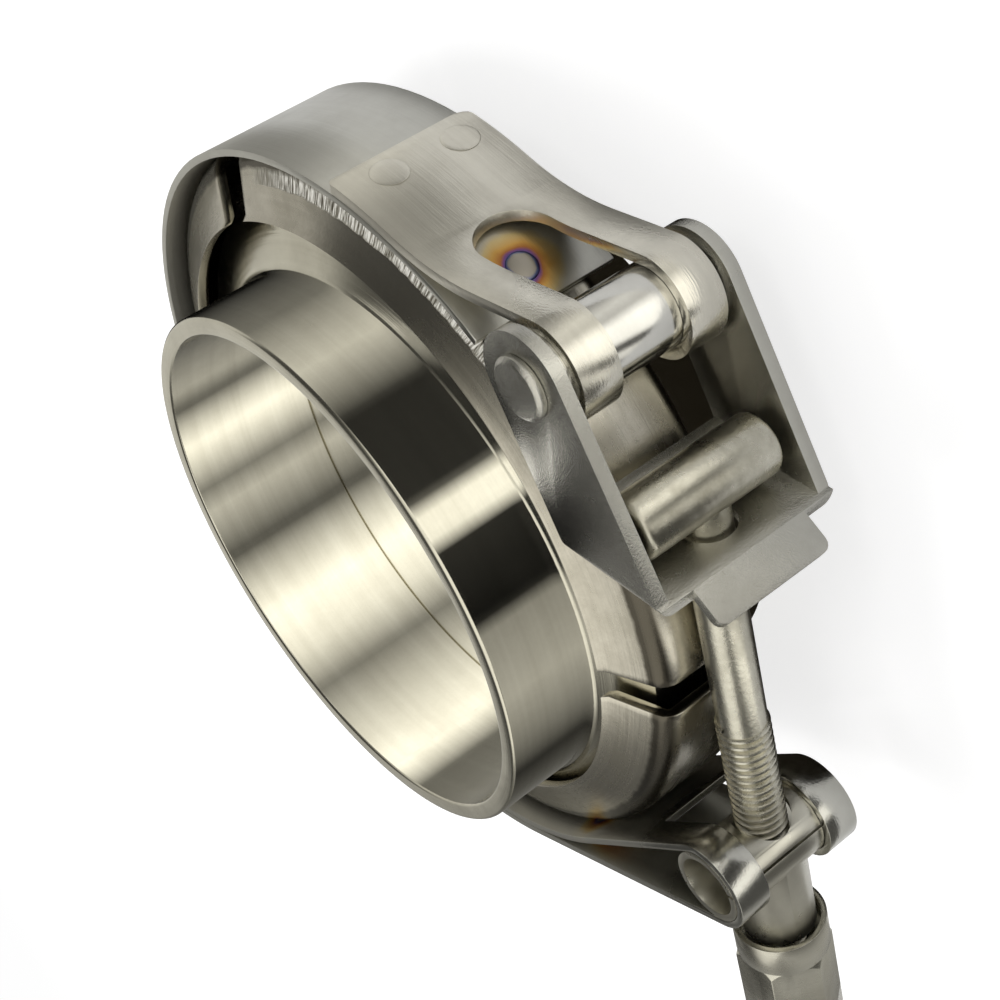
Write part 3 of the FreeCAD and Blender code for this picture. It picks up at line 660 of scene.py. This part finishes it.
# %% Group: scuffs
scuffs, source, result = new_group(
    "scuffs", {"Size": ("NodeSocketFloat", 900.0)},
    {"Pits": "NodeSocketFloat", "Tarnish": "NodeSocketFloat"},
)
coords = add(scuffs, "ShaderNodeTexCoord")
fine = add(scuffs, "ShaderNodeTexNoise", {"Detail": 5.0, "Roughness": 0.65})
scuffs.links.new(coords.outputs["Object"], fine.inputs["Vector"])
scuffs.links.new(source.outputs["Size"], fine.inputs["Scale"])
scuffs.links.new(fine.outputs[0], result.inputs["Pits"])
soft = add(scuffs, "ShaderNodeTexNoise", {"Scale": 110.0, "Detail": 6.0, "Roughness": 0.7})
scuffs.links.new(coords.outputs["Object"], soft.inputs["Vector"])
scuffs.links.new(grows(scuffs, soft.outputs[0], 0.38, 0.72), result.inputs["Tarnish"])

# %% [markdown]
# Welding heat leaves rings of oxide colour on stainless steel: straw furthest out, then brown,
# purple and blue close to the weld. `heat_rings` puts them round a point.

# %% Group: heat rings
heat_rings, source, result = new_group(
    "heat_rings",
    {"Centre": ("NodeSocketVector", (0, 0, 0)), "Radius": ("NodeSocketFloat", 0.005)},
    {"Tint": "NodeSocketColor", "Mask": "NodeSocketFloat"},
)
coords = add(heat_rings, "ShaderNodeTexCoord")
away = add(heat_rings, "ShaderNodeVectorMath", operation="DISTANCE")
heat_rings.links.new(coords.outputs["Object"], away.inputs[0])
heat_rings.links.new(source.outputs["Centre"], away.inputs[1])
share = math_node(heat_rings, "DIVIDE", away.outputs["Value"], source.outputs["Radius"])
uneven = add(heat_rings, "ShaderNodeTexNoise", {"Scale": 420.0, "Detail": 2.0})
heat_rings.links.new(coords.outputs["Object"], uneven.inputs["Vector"])
wobble = math_node(heat_rings, "MULTIPLY_ADD", uneven.outputs[0], 0.22, share)
ramp = add(heat_rings, "ShaderNodeValToRGB")
ramp.color_ramp.elements[0].position = 0.0
ramp.color_ramp.elements[0].color = (0.36, 0.33, 0.28, 1)
ramp.color_ramp.elements[1].position = 1.0
ramp.color_ramp.elements[1].color = (0.62, 0.58, 0.48, 1)
for spot, colour in (
    (0.36, (0.36, 0.33, 0.28, 1)), (0.41, (0.10, 0.13, 0.30, 1)), (0.47, (0.18, 0.08, 0.22, 1)),
    (0.54, (0.40, 0.16, 0.05, 1)), (0.66, (0.62, 0.36, 0.10, 1)), (0.84, (0.66, 0.52, 0.26, 1)),
):
    stop = ramp.color_ramp.elements.new(spot)
    stop.color = colour
heat_rings.links.new(wobble, ramp.inputs[0])
heat_rings.links.new(ramp.outputs[0], result.inputs["Tint"])
heat_rings.links.new(fades(heat_rings, wobble, 0.85, 1.25), result.inputs["Mask"])
print("groups:", [group.name for group in bpy.data.node_groups])

# %% [markdown]
# The press tool coins a band of fine radial lines into a segment's leg. The leg between the band
# and the crown, just under the strap's edge, gets painted shade: a near-black tone. The group
# finds both zones by their reach from the clamp's centre. The band's ridges get a painted
# highlight on one stretch of the turn, which fades out at its two ends.

# %% Group: coined band, with painted shade and a painted highlight
coined_band_and_painted_light, source, result = new_group(
    "coined_band_and_painted_light", {"Place": ("NodeSocketVector", (0, 0, 0))},
    {"Band": "NodeSocketFloat", "Under strap shade": "NodeSocketFloat", "Ridges": "NodeSocketFloat"},
)
parts = add(coined_band_and_painted_light, "ShaderNodeSeparateXYZ")
coined_band_and_painted_light.links.new(source.outputs["Place"], parts.inputs[0])
ragged = add(coined_band_and_painted_light, "ShaderNodeTexNoise", {"Scale": 700.0, "Detail": 3.0})
coined_band_and_painted_light.links.new(source.outputs["Place"], ragged.inputs["Vector"])
shift = math_node(coined_band_and_painted_light, "MULTIPLY_ADD", ragged.outputs[0], 0.6 * MM, parts.outputs[1])
past_inner = grows(coined_band_and_painted_light, shift, 42.2 * MM, 42.4 * MM)
past_outer = grows(coined_band_and_painted_light, shift, 43.6 * MM, 44.1 * MM)
ring = math_node(coined_band_and_painted_light, "SUBTRACT", past_inner, past_outer)
begins = grows(coined_band_and_painted_light, parts.outputs[0], -36 * MM, -28 * MM)
ends_again = fades(coined_band_and_painted_light, parts.outputs[0], 2 * MM, 10 * MM)
stretch_of_arc = math_node(coined_band_and_painted_light, "MULTIPLY", begins, ends_again)
band = math_node(coined_band_and_painted_light, "MULTIPLY", ring, stretch_of_arc)
coined_band_and_painted_light.links.new(band, result.inputs["Band"])
# painted shade: the leg between the band and the crown, under the strap's edge
before_bend = fades(coined_band_and_painted_light, parts.outputs[1], 45.4 * MM, 45.7 * MM)
under_strap_shade = math_node(coined_band_and_painted_light, "MULTIPLY", past_outer, before_bend)
coined_band_and_painted_light.links.new(under_strap_shade, result.inputs["Under strap shade"])
along = add(coined_band_and_painted_light, "ShaderNodeVectorMath", {1: (5200, 500, 500)}, operation="MULTIPLY")
coined_band_and_painted_light.links.new(source.outputs["Place"], along.inputs[0])
ridges = add(coined_band_and_painted_light, "ShaderNodeTexNoise", {"Scale": 1.0, "Detail": 2.0, "Roughness": 0.5})
coined_band_and_painted_light.links.new(along.outputs[0], ridges.inputs["Vector"])
coined_band_and_painted_light.links.new(grows(coined_band_and_painted_light, ridges.outputs[0], 0.36, 0.60), result.inputs["Ridges"])

# %% [markdown]
# ## One recipe for every steel
#
# All the pieces are stainless steel, so one recipe makes every finish: a clean and a tarnished
# colour, a roughness that the lines and the tarnish vary, and a bump from the lines and pits.
# What differs is the direction of the lines, their size and how strong each part is. A finish
# may add heat marks, the coined band with its painted shade and painted highlight, or a spot
# that is rubbed smoother than the rest.

# %% The steel recipe
STREAK_SHARE = 0.35  # how much the wide streaks add to the tarnish
# painted shade for the segment's leg under the strap's edge
UNDER_STRAP_PAINTED_SHADE = (0.10, 0.09, 0.07)
BAND_TONE = (0.24, 0.22, 0.17)
# a painted highlight for the coined ridges
RIDGE_PAINTED_HIGHLIGHT = (1.0, 0.98, 0.90)
BAND_FROSTING = 0.35  # how much rougher the coined band is


def steel(name, clean, tarnished, rough, spread, centre=None, stretch=(30, 2500, 2500),
          line_bump=0.15, pit_size=900.0, pit_bump=0.05, tarnish=0.5, heat=(), coined_with_painted_light=False,
          polish=None):
    """Heat is a list of places and radii. Polish is a place, a reach and how much smoother."""
    material = bpy.data.materials.new(name)
    material.use_nodes = True
    tree = material.node_tree
    shader = tree.nodes["Principled BSDF"]
    shader.inputs["Metallic"].default_value = 1.0
    lines = place_group(tree, fine_lines, {"Stretch": stretch})
    if centre is None:
        coords = add(tree, "ShaderNodeTexCoord")
        tree.links.new(coords.outputs["Object"], lines.inputs["Place"])
    else:
        place = place_group(tree, round_place, {"Centre": centre})
        tree.links.new(place.outputs["Place"], lines.inputs["Place"])
    marks = place_group(tree, scuffs, {"Size": pit_size})
    amount = math_node(tree, "MULTIPLY", marks.outputs["Tarnish"], tarnish)
    streak = math_node(tree, "MULTIPLY_ADD", lines.outputs["Streaks"], STREAK_SHARE, amount)
    colour = add(tree, "ShaderNodeMix", data_type="RGBA", clamp_factor=True)
    colour.inputs["A"].default_value = (*clean, 1)
    colour.inputs["B"].default_value = (*tarnished, 1)
    tree.links.new(streak, colour.inputs["Factor"])
    last = colour.outputs["Result"]
    for spot, radius in heat:
        rings = place_group(tree, heat_rings, {"Centre": spot, "Radius": radius})
        over = add(tree, "ShaderNodeMix", data_type="RGBA")
        tree.links.new(rings.outputs["Mask"], over.inputs["Factor"])
        tree.links.new(last, over.inputs["A"])
        tree.links.new(rings.outputs["Tint"], over.inputs["B"])
        last = over.outputs["Result"]
    # the coined band adds painted shade under the strap's edge and a painted highlight on its
    # ridges, with the metal turned down there so the near-white tone shows
    if coined_with_painted_light:
        zones = place_group(tree, coined_band_and_painted_light)
        tree.links.new(place.outputs["Place"], zones.inputs["Place"])
        bright = math_node(tree, "MULTIPLY", zones.outputs["Band"], zones.outputs["Ridges"])
        metal_under_painted_highlight = math_node(tree, "MULTIPLY_ADD", bright, -0.75, 1.0)
        tree.links.new(metal_under_painted_highlight, shader.inputs["Metallic"])
        for mask, tone in (
            (zones.outputs["Under strap shade"], UNDER_STRAP_PAINTED_SHADE), (zones.outputs["Band"], BAND_TONE),
            (bright, RIDGE_PAINTED_HIGHLIGHT),
        ):
            over = add(tree, "ShaderNodeMix", data_type="RGBA")
            tree.links.new(mask, over.inputs["Factor"])
            tree.links.new(last, over.inputs["A"])
            over.inputs["B"].default_value = (*tone, 1)
            last = over.outputs["Result"]
    tree.links.new(last, shader.inputs["Base Color"])
    mixed = math_node(tree, "ADD", lines.outputs["Lines"], marks.outputs["Tarnish"])
    rougher = math_node(tree, "MULTIPLY_ADD", mixed, spread, rough - spread * 0.5)
    if coined_with_painted_light:
        rougher = math_node(tree, "MULTIPLY_ADD", zones.outputs["Band"], BAND_FROSTING, rougher)
    if polish:
        spot, reach, less = polish
        coords = add(tree, "ShaderNodeTexCoord")
        away = add(tree, "ShaderNodeVectorMath", {1: spot}, operation="DISTANCE")
        tree.links.new(coords.outputs["Object"], away.inputs[0])
        rubbed = fades(tree, away.outputs["Value"], reach, reach + 4 * MM, less)
        rougher = math_node(tree, "SUBTRACT", rougher, rubbed)
    tree.links.new(rougher, shader.inputs["Roughness"])
    pits = add(tree, "ShaderNodeBump", {"Strength": pit_bump, "Distance": 0.0002})
    tree.links.new(marks.outputs["Pits"], pits.inputs["Height"])
    grooves = add(tree, "ShaderNodeBump", {"Strength": line_bump, "Distance": 0.0001})
    tree.links.new(lines.outputs["Lines"], grooves.inputs["Height"])
    tree.links.new(pits.outputs["Normal"], grooves.inputs["Normal"])
    final = grooves.outputs["Normal"]
    if coined_with_painted_light:
        stamped = add(tree, "ShaderNodeBump", {"Strength": 0.8, "Distance": 0.0002})
        tree.links.new(bright, stamped.inputs["Height"])
        tree.links.new(final, stamped.inputs["Normal"])
        final = stamped.outputs["Normal"]
    tree.links.new(final, shader.inputs["Normal"])
    return material


def wear(piece, material):
    """Give the whole piece one finish."""
    piece.data.materials.clear()
    piece.data.materials.append(material)


# %% [markdown]
# The flanges are turned and then lightly brushed, so their lines run round the pipe's axis.

# %% Flange finish
turned = steel(
    "turned_flange_steel", (0.66, 0.635, 0.53), (0.46, 0.435, 0.35), 0.18, 0.08,
    centre=(0, 0, 0), stretch=(22, 2600, 2600), line_bump=0.22, pit_bump=0.02, tarnish=0.35)
for flange in flanges:
    wear(flange, turned)

# %% [markdown]
# The strap and the segments are cold-rolled strip. The strap's heat marks are at the nugget in
# the tongue's window and at a weld that holds the segment near the trunnion. The ring at that weld
# is partly real heat tint and partly painted shade: it is made wide enough to darken the strap's
# inner side in the hollow beside the segment. The strap is rubbed smooth where it wraps the
# trunnion, and the tongue where it is rolled round the sleeve.

# %% Strap and segment finishes
# partly heat tint and partly painted shade: this ring also darkens the strap's inner side in the
# hollow beside the segment
SEGMENT_WELD_HEAT_AND_SHADE = tuple(Vector((-36.6, -23.9, 23.6)) * MM)
rolled = steel(
    "rolled_strap_steel", (0.55, 0.545, 0.50), (0.46, 0.45, 0.41), 0.34, 0.08,
    centre=tuple(CLAMP), stretch=(60, 3000, 3600), line_bump=0.16, pit_bump=0.05,
    heat=((tuple(NUGGET), 5.2 * MM), (SEGMENT_WELD_HEAT_AND_SHADE, 4.2 * MM)),
    polish=(tuple(TRUNNION), 12 * MM, 0.18))
wear(strap, rolled)
wear(nugget, rolled)
# the segments' finish carries the coined band's painted shade and painted highlight
pressed_with_painted_light = steel(
    "pressed_segment_steel_with_painted_light", (0.58, 0.55, 0.47), (0.38, 0.355, 0.29), 0.22, 0.10,
    centre=tuple(CLAMP), stretch=(60, 1800, 1800), line_bump=0.16, pit_bump=0.07, tarnish=0.7,
    coined_with_painted_light=True)
for segment in segments:
    wear(segment, pressed_with_painted_light)
satin = steel(
    "satin_tongue_steel", (0.72, 0.695, 0.61), (0.52, 0.495, 0.43), 0.36, 0.10,
    centre=tuple(CLAMP), stretch=(130, 2600, 4200), line_bump=0.30, pit_size=1600.0,
    pit_bump=0.05, tarnish=0.35, polish=(tuple(PIN_AXIS), 9 * MM, 0.18))
wear(tongue, satin)
for dome in WELDS:
    wear(dome, satin)

# %% [markdown]
# The latch frame and the pin are tumbled bright, which leaves shallow pits and no lines. The
# sleeve is ground and polished, so it has fine lines round its axis.

# %% Latch finishes
tumbled = steel(
    "tumbled_latch_steel", (0.53, 0.52, 0.475), (0.40, 0.39, 0.345), 0.21, 0.08,
    stretch=(1500, 1500, 1500), line_bump=0.02, pit_size=4200.0, pit_bump=0.32, tarnish=0.30)
wear(latch, tumbled)
wear(pin, tumbled)
hardened = steel(
    "polished_sleeve_steel", (0.66, 0.65, 0.61), (0.52, 0.51, 0.47), 0.13, 0.06,
    centre=(PIN.x, PIN.y, 0), stretch=(200, 2500, 2500), line_bump=0.05, pit_bump=0.03,
    tarnish=0.3)
wear(sleeve, hardened)

# %% [markdown]
# The bolt is bright drawn bar, marked all over by handling. The trunnion is a satin tube, and
# the nut is turned, so its lines run round the bolt.

# %% Bolt, trunnion and nut finishes
drawn = steel(
    "drawn_bolt_steel", (0.66, 0.64, 0.55), (0.30, 0.28, 0.22), 0.25, 0.12,
    stretch=(200, 900, 900), line_bump=0.14, pit_size=1500.0, pit_bump=0.18, tarnish=0.75)
wear(t_bolt, drawn)
satin_tube = steel(
    "satin_trunnion_steel", (0.60, 0.585, 0.51), (0.45, 0.43, 0.37), 0.26, 0.10,
    stretch=(400, 900, 200), line_bump=0.10, pit_bump=0.08)
wear(trunnion, satin_tube)
turned_nut = steel(
    "turned_nut_steel", (0.60, 0.585, 0.51), (0.42, 0.40, 0.34), 0.24, 0.10,
    stretch=(2200, 60, 60), line_bump=0.14, pit_bump=0.08, tarnish=0.7)
wear(nut, turned_nut)

# %% [markdown]
# ## The studio
#
# Small shiny parts are photographed in a light tent: a white table, bright walls with a few dark
# strips, and soft lamps. The strips give the dark bands that make steel read as steel. The tent
# shows only in reflections, so every view sees the part on a plain white table. The table and the
# air glow a little for the camera and for reflections, and not for the light on the part.

# %% Floor and world
def light_path_white(tree):
    """1 for camera, glossy and transmission rays, and 0 for the light that falls on things."""
    rays = add(tree, "ShaderNodeLightPath").outputs
    either = math_node(tree, "MAXIMUM", rays["Is Camera Ray"], rays["Is Glossy Ray"])
    return math_node(tree, "MAXIMUM", either, rays["Is Transmission Ray"])


TABLE_SEEN = 0.74
TABLE_MIRRORED = 0.35
start_fresh()
bpy.ops.mesh.primitive_plane_add(size=3.0, location=(0, 0, -0.0002))
floor = bpy.context.active_object
floor.name = "floor"
paper = bpy.data.materials.new("white_table")
paper.use_nodes = True
tree = paper.node_tree
matt = tree.nodes["Principled BSDF"]
matt.inputs["Base Color"].default_value = (0.5, 0.5, 0.5, 1)
matt.inputs["Roughness"].default_value = 0.9
matt.inputs["Specular IOR Level"].default_value = 0.0
matt.inputs["Emission Color"].default_value = (1, 1, 1, 1)
rays = add(tree, "ShaderNodeLightPath").outputs
seen = math_node(tree, "MULTIPLY", rays["Is Camera Ray"], TABLE_SEEN)
mirrored = math_node(tree, "MULTIPLY", rays["Is Glossy Ray"], TABLE_MIRRORED)
tree.links.new(math_node(tree, "ADD", seen, mirrored), matt.inputs["Emission Strength"])
floor.data.materials.append(paper)

world = bpy.data.worlds.new("studio_air")
bpy.context.scene.world = world
world.use_nodes = True
tree = world.node_tree
tree.nodes.clear()
out = tree.nodes.new("ShaderNodeOutputWorld")
soft_air = add(tree, "ShaderNodeBackground", {"Color": (1, 1, 1, 1), "Strength": 0.5})
white_air = add(tree, "ShaderNodeBackground", {"Color": (1, 1, 1, 1), "Strength": 1.0})
blend = add(tree, "ShaderNodeMixShader")
tree.links.new(light_path_white(tree), blend.inputs[0])
tree.links.new(soft_air.outputs[0], blend.inputs[1])
tree.links.new(white_air.outputs[0], blend.inputs[2])
tree.links.new(blend.outputs[0], out.inputs[0])

# %% [markdown]
# The tent wall is a cone that opens upwards. A colour ramp round its axis paints the bright
# panels and the dark strips between them. A ramp's colours stop at 1 and some panels are brighter,
# so the levels are halved in the ramp and doubled again by the strength of the glow. A ramp holds
# 32 stops at most.

# %% The tent wall
def glossy_only(card):
    """The card shows in reflections alone: no camera sees it and it throws no shadow."""
    for kind in ("camera", "diffuse", "transmission", "shadow", "volume_scatter"):
        setattr(card, f"visible_{kind}", False)


def glowing(name, colour, strength=1.0):
    """A glow of one colour, or of a colour that a function makes in the material's tree."""
    material = bpy.data.materials.new(name)
    material.use_nodes = True
    tree = material.node_tree
    tree.nodes.clear()
    out = tree.nodes.new("ShaderNodeOutputMaterial")
    light = add(tree, "ShaderNodeEmission", {"Strength": strength})
    tree.links.new(light.outputs[0], out.inputs[0])
    if callable(colour):
        tree.links.new(colour(tree), light.inputs["Color"])
    else:
        light.inputs["Color"].default_value = (*colour, 1)
    return material


RAMP_TOP = 2.0
# bearing in degrees, and how bright a panel is there
WALL = [
    (-180, 0.10), (-150, 0.45), (-138, 0.30), (-130, 0.50), (-122, 0.12), (-111, 0.10),
    (-107, 1.6), (-100, 1.6), (-97, 0.20), (-90, 0.07), (-74, 0.07), (-71, 0.9), (-65, 1.1),
    (-62, 0.15), (-59, 0.12), (-56, 1.5), (-47, 1.8), (-42, 0.75), (-36, 1.0), (-28, 0.55),
    (-18, 0.28), (-6, 0.24), (5, 1.0), (11, 0.9), (17, 0.40), (28, 0.36), (42, 0.34), (52, 0.62),
    (90, 0.72), (130, 0.66), (150, 0.45), (180, 0.10),
]


def shades_round(levels):
    """A colour for each bearing about the upright axis, from a list of bearings and levels."""
    def colour(tree):
        coords = add(tree, "ShaderNodeTexCoord")
        parts = add(tree, "ShaderNodeSeparateXYZ")
        tree.links.new(coords.outputs["Object"], parts.inputs[0])
        bearing = math_node(tree, "ARCTAN2", parts.outputs[1], parts.outputs[0])
        share = math_node(tree, "ADD", math_node(tree, "DIVIDE", bearing, math.tau), 0.5)
        return shades(tree, share, [((degrees + 180) / 360, level) for degrees, level in levels])
    return colour


def shades(tree, share, levels):
    """A faintly warm ramp with a level at each share of its length, both in rising order."""
    ramp = add(tree, "ShaderNodeValToRGB")
    stops = ramp.color_ramp.elements
    while len(stops) < len(levels):
        stops.new(0.5)
    for stop, (place, level) in zip(stops, levels):
        stop.position = place
    for stop, (place, level) in zip(stops, levels):
        glow = level / RAMP_TOP
        stop.color = (glow, glow * 0.985, glow * 0.93, 1)
    tree.links.new(share, ramp.inputs[0])
    return ramp.outputs[0]


start_fresh()
bpy.ops.mesh.primitive_cone_add(
    vertices=128, radius1=69.7 * MM, radius2=150 * MM, depth=91 * MM, end_fill_type="NOTHING",
    location=(0, 0, 54.5 * MM))
tent = bpy.context.active_object
tent.name = "tent_wall"
apply_place(tent)
tent.data.materials.append(glowing("tent_panels", shades_round(WALL), RAMP_TOP))
glossy_only(tent)

# %% [markdown]
# The tent's ceiling is a plane with a bright side and a darker strip, which the flat faces of
# the latch and the flange's mouth reflect. A black card lies under the part, as a black cloth
# would, and keeps the hollows between strap and flange dark.

# %% Ceiling and black card
HALF_CEILING = 200
# Y in mm, and how bright the ceiling is there
CEILING = [
    (-200, 1.3), (-55, 1.3), (-38, 0.9), (-24, 0.2), (0, 0.05), (40, 0.08), (68, 0.09),
    (76, 0.20), (86, 0.42), (98, 0.66), (200, 0.70),
]


def ceiling_colour(tree):
    coords = add(tree, "ShaderNodeTexCoord")
    parts = add(tree, "ShaderNodeSeparateXYZ")
    tree.links.new(coords.outputs["Object"], parts.inputs[0])
    share = grows(tree, parts.outputs[1], -HALF_CEILING * MM, HALF_CEILING * MM)
    places = [((y + HALF_CEILING) / (2 * HALF_CEILING), level) for y, level in CEILING]
    return shades(tree, share, places)


start_fresh()
bpy.ops.mesh.primitive_plane_add(size=2 * HALF_CEILING * MM, location=(0, 0, 101 * MM))
ceiling = bpy.context.active_object
ceiling.name = "tent_ceiling"
apply_place(ceiling)
ceiling.data.materials.append(glowing("tent_cloth", ceiling_colour, RAMP_TOP))
glossy_only(ceiling)

start_fresh()
bpy.ops.mesh.primitive_circle_add(
    vertices=64, radius=56 * MM, fill_type="NGON", location=(0, 0, 0.1 * MM))
cloth = bpy.context.active_object
cloth.name = "black_cloth"
apply_place(cloth)
cloth.data.materials.append(glowing("black_cloth", (0.012, 0.010, 0.007)))
glossy_only(cloth)

# %% [markdown]
# A mirror-smooth tube shows narrow bands of everything round it. Two glowing rolls, one about
# half a millimetre inside the bore and one about half a millimetre outside the neck, paint those
# bands: the flange mirrors each roll's pattern at nearly the same bearing, so the bands are
# painted reflections. Like the tent, they show in reflections alone.

# %% Glowing rolls that paint the flange's reflections
# bearing in degrees, and how bright the painted reflection is there
BORE_PAINTED_REFLECTION = [
    (-180, 1.8), (-170, 0.2), (-150, 0.3), (-140, 0.05), (-60, 1.0), (10, 0.1), (40, 0.02),
    (64, 0.6), (70, 0.15), (82, 1.8), (94, 0.3), (100, 0.8), (112, 0.1), (129, 2.0), (140, 1.4),
    (150, 0.3), (176, 1.8), (180, 1.8),
]
NECK_PAINTED_REFLECTION = [
    (-180, 0.2), (-162, 0.4), (-112, 0.03), (-90, 0.6), (-76, 0.4), (-73, 0.0), (-59, 0.03),
    (-56, 1.6), (-52, 1.6), (-49, 0.03), (-30, 0.03), (-17, 0.9), (0, 0.25), (24, 0.0), (44, 0.0),
    (60, 0.5), (74, 0.9), (100, 0.1), (132, 0.2), (180, 0.2),
]

for name, stripes, reach, low, high in (
    ("bore_reflection_roll", BORE_PAINTED_REFLECTION, 31.2, 0.4, 37.9),
    ("neck_reflection_roll", NECK_PAINTED_REFLECTION, 34.5, 27.2, 38.1),
):
    start_fresh()
    bpy.ops.mesh.primitive_cylinder_add(
        vertices=128, radius=reach * MM, depth=(high - low) * MM, end_fill_type="NOTHING",
        location=(0, 0, (low + high) / 2 * MM))
    roll = bpy.context.active_object
    roll.name = name
    apply_place(roll)
    roll.data.materials.append(glowing(name, shades_round(stripes), RAMP_TOP))
    glossy_only(roll)

# %% [markdown]
# One large soft lamp behind the part throws the shadow, and a smaller one lifts the near side.
# Neither shows in reflections, because a lamp's white square would wash out the bands.

# %% Lamps
def soft_lamp(name, place, size, power):
    data = bpy.data.lights.new(name, "AREA")
    data.size = size
    data.energy = power
    lamp = bpy.data.objects.new(name, data)
    bpy.context.scene.collection.objects.link(lamp)
    lamp.location = place
    lamp.visible_glossy = False
    aim = Vector((0, 0, 0.02)) - Vector(place)
    lamp.rotation_euler = aim.to_track_quat("-Z", "Y").to_euler()


soft_lamp("key_lamp", (-0.15, 0.40, 0.60), 0.5, 3.2)
soft_lamp("glint_lamp", (0.45, -0.30, 0.45), 0.15, 0.6)

# %% [markdown]
# ## Look settings and the end
#

# %% Look settings and the end
bpy.context.scene.view_settings.view_transform = "Standard"
start_fresh()
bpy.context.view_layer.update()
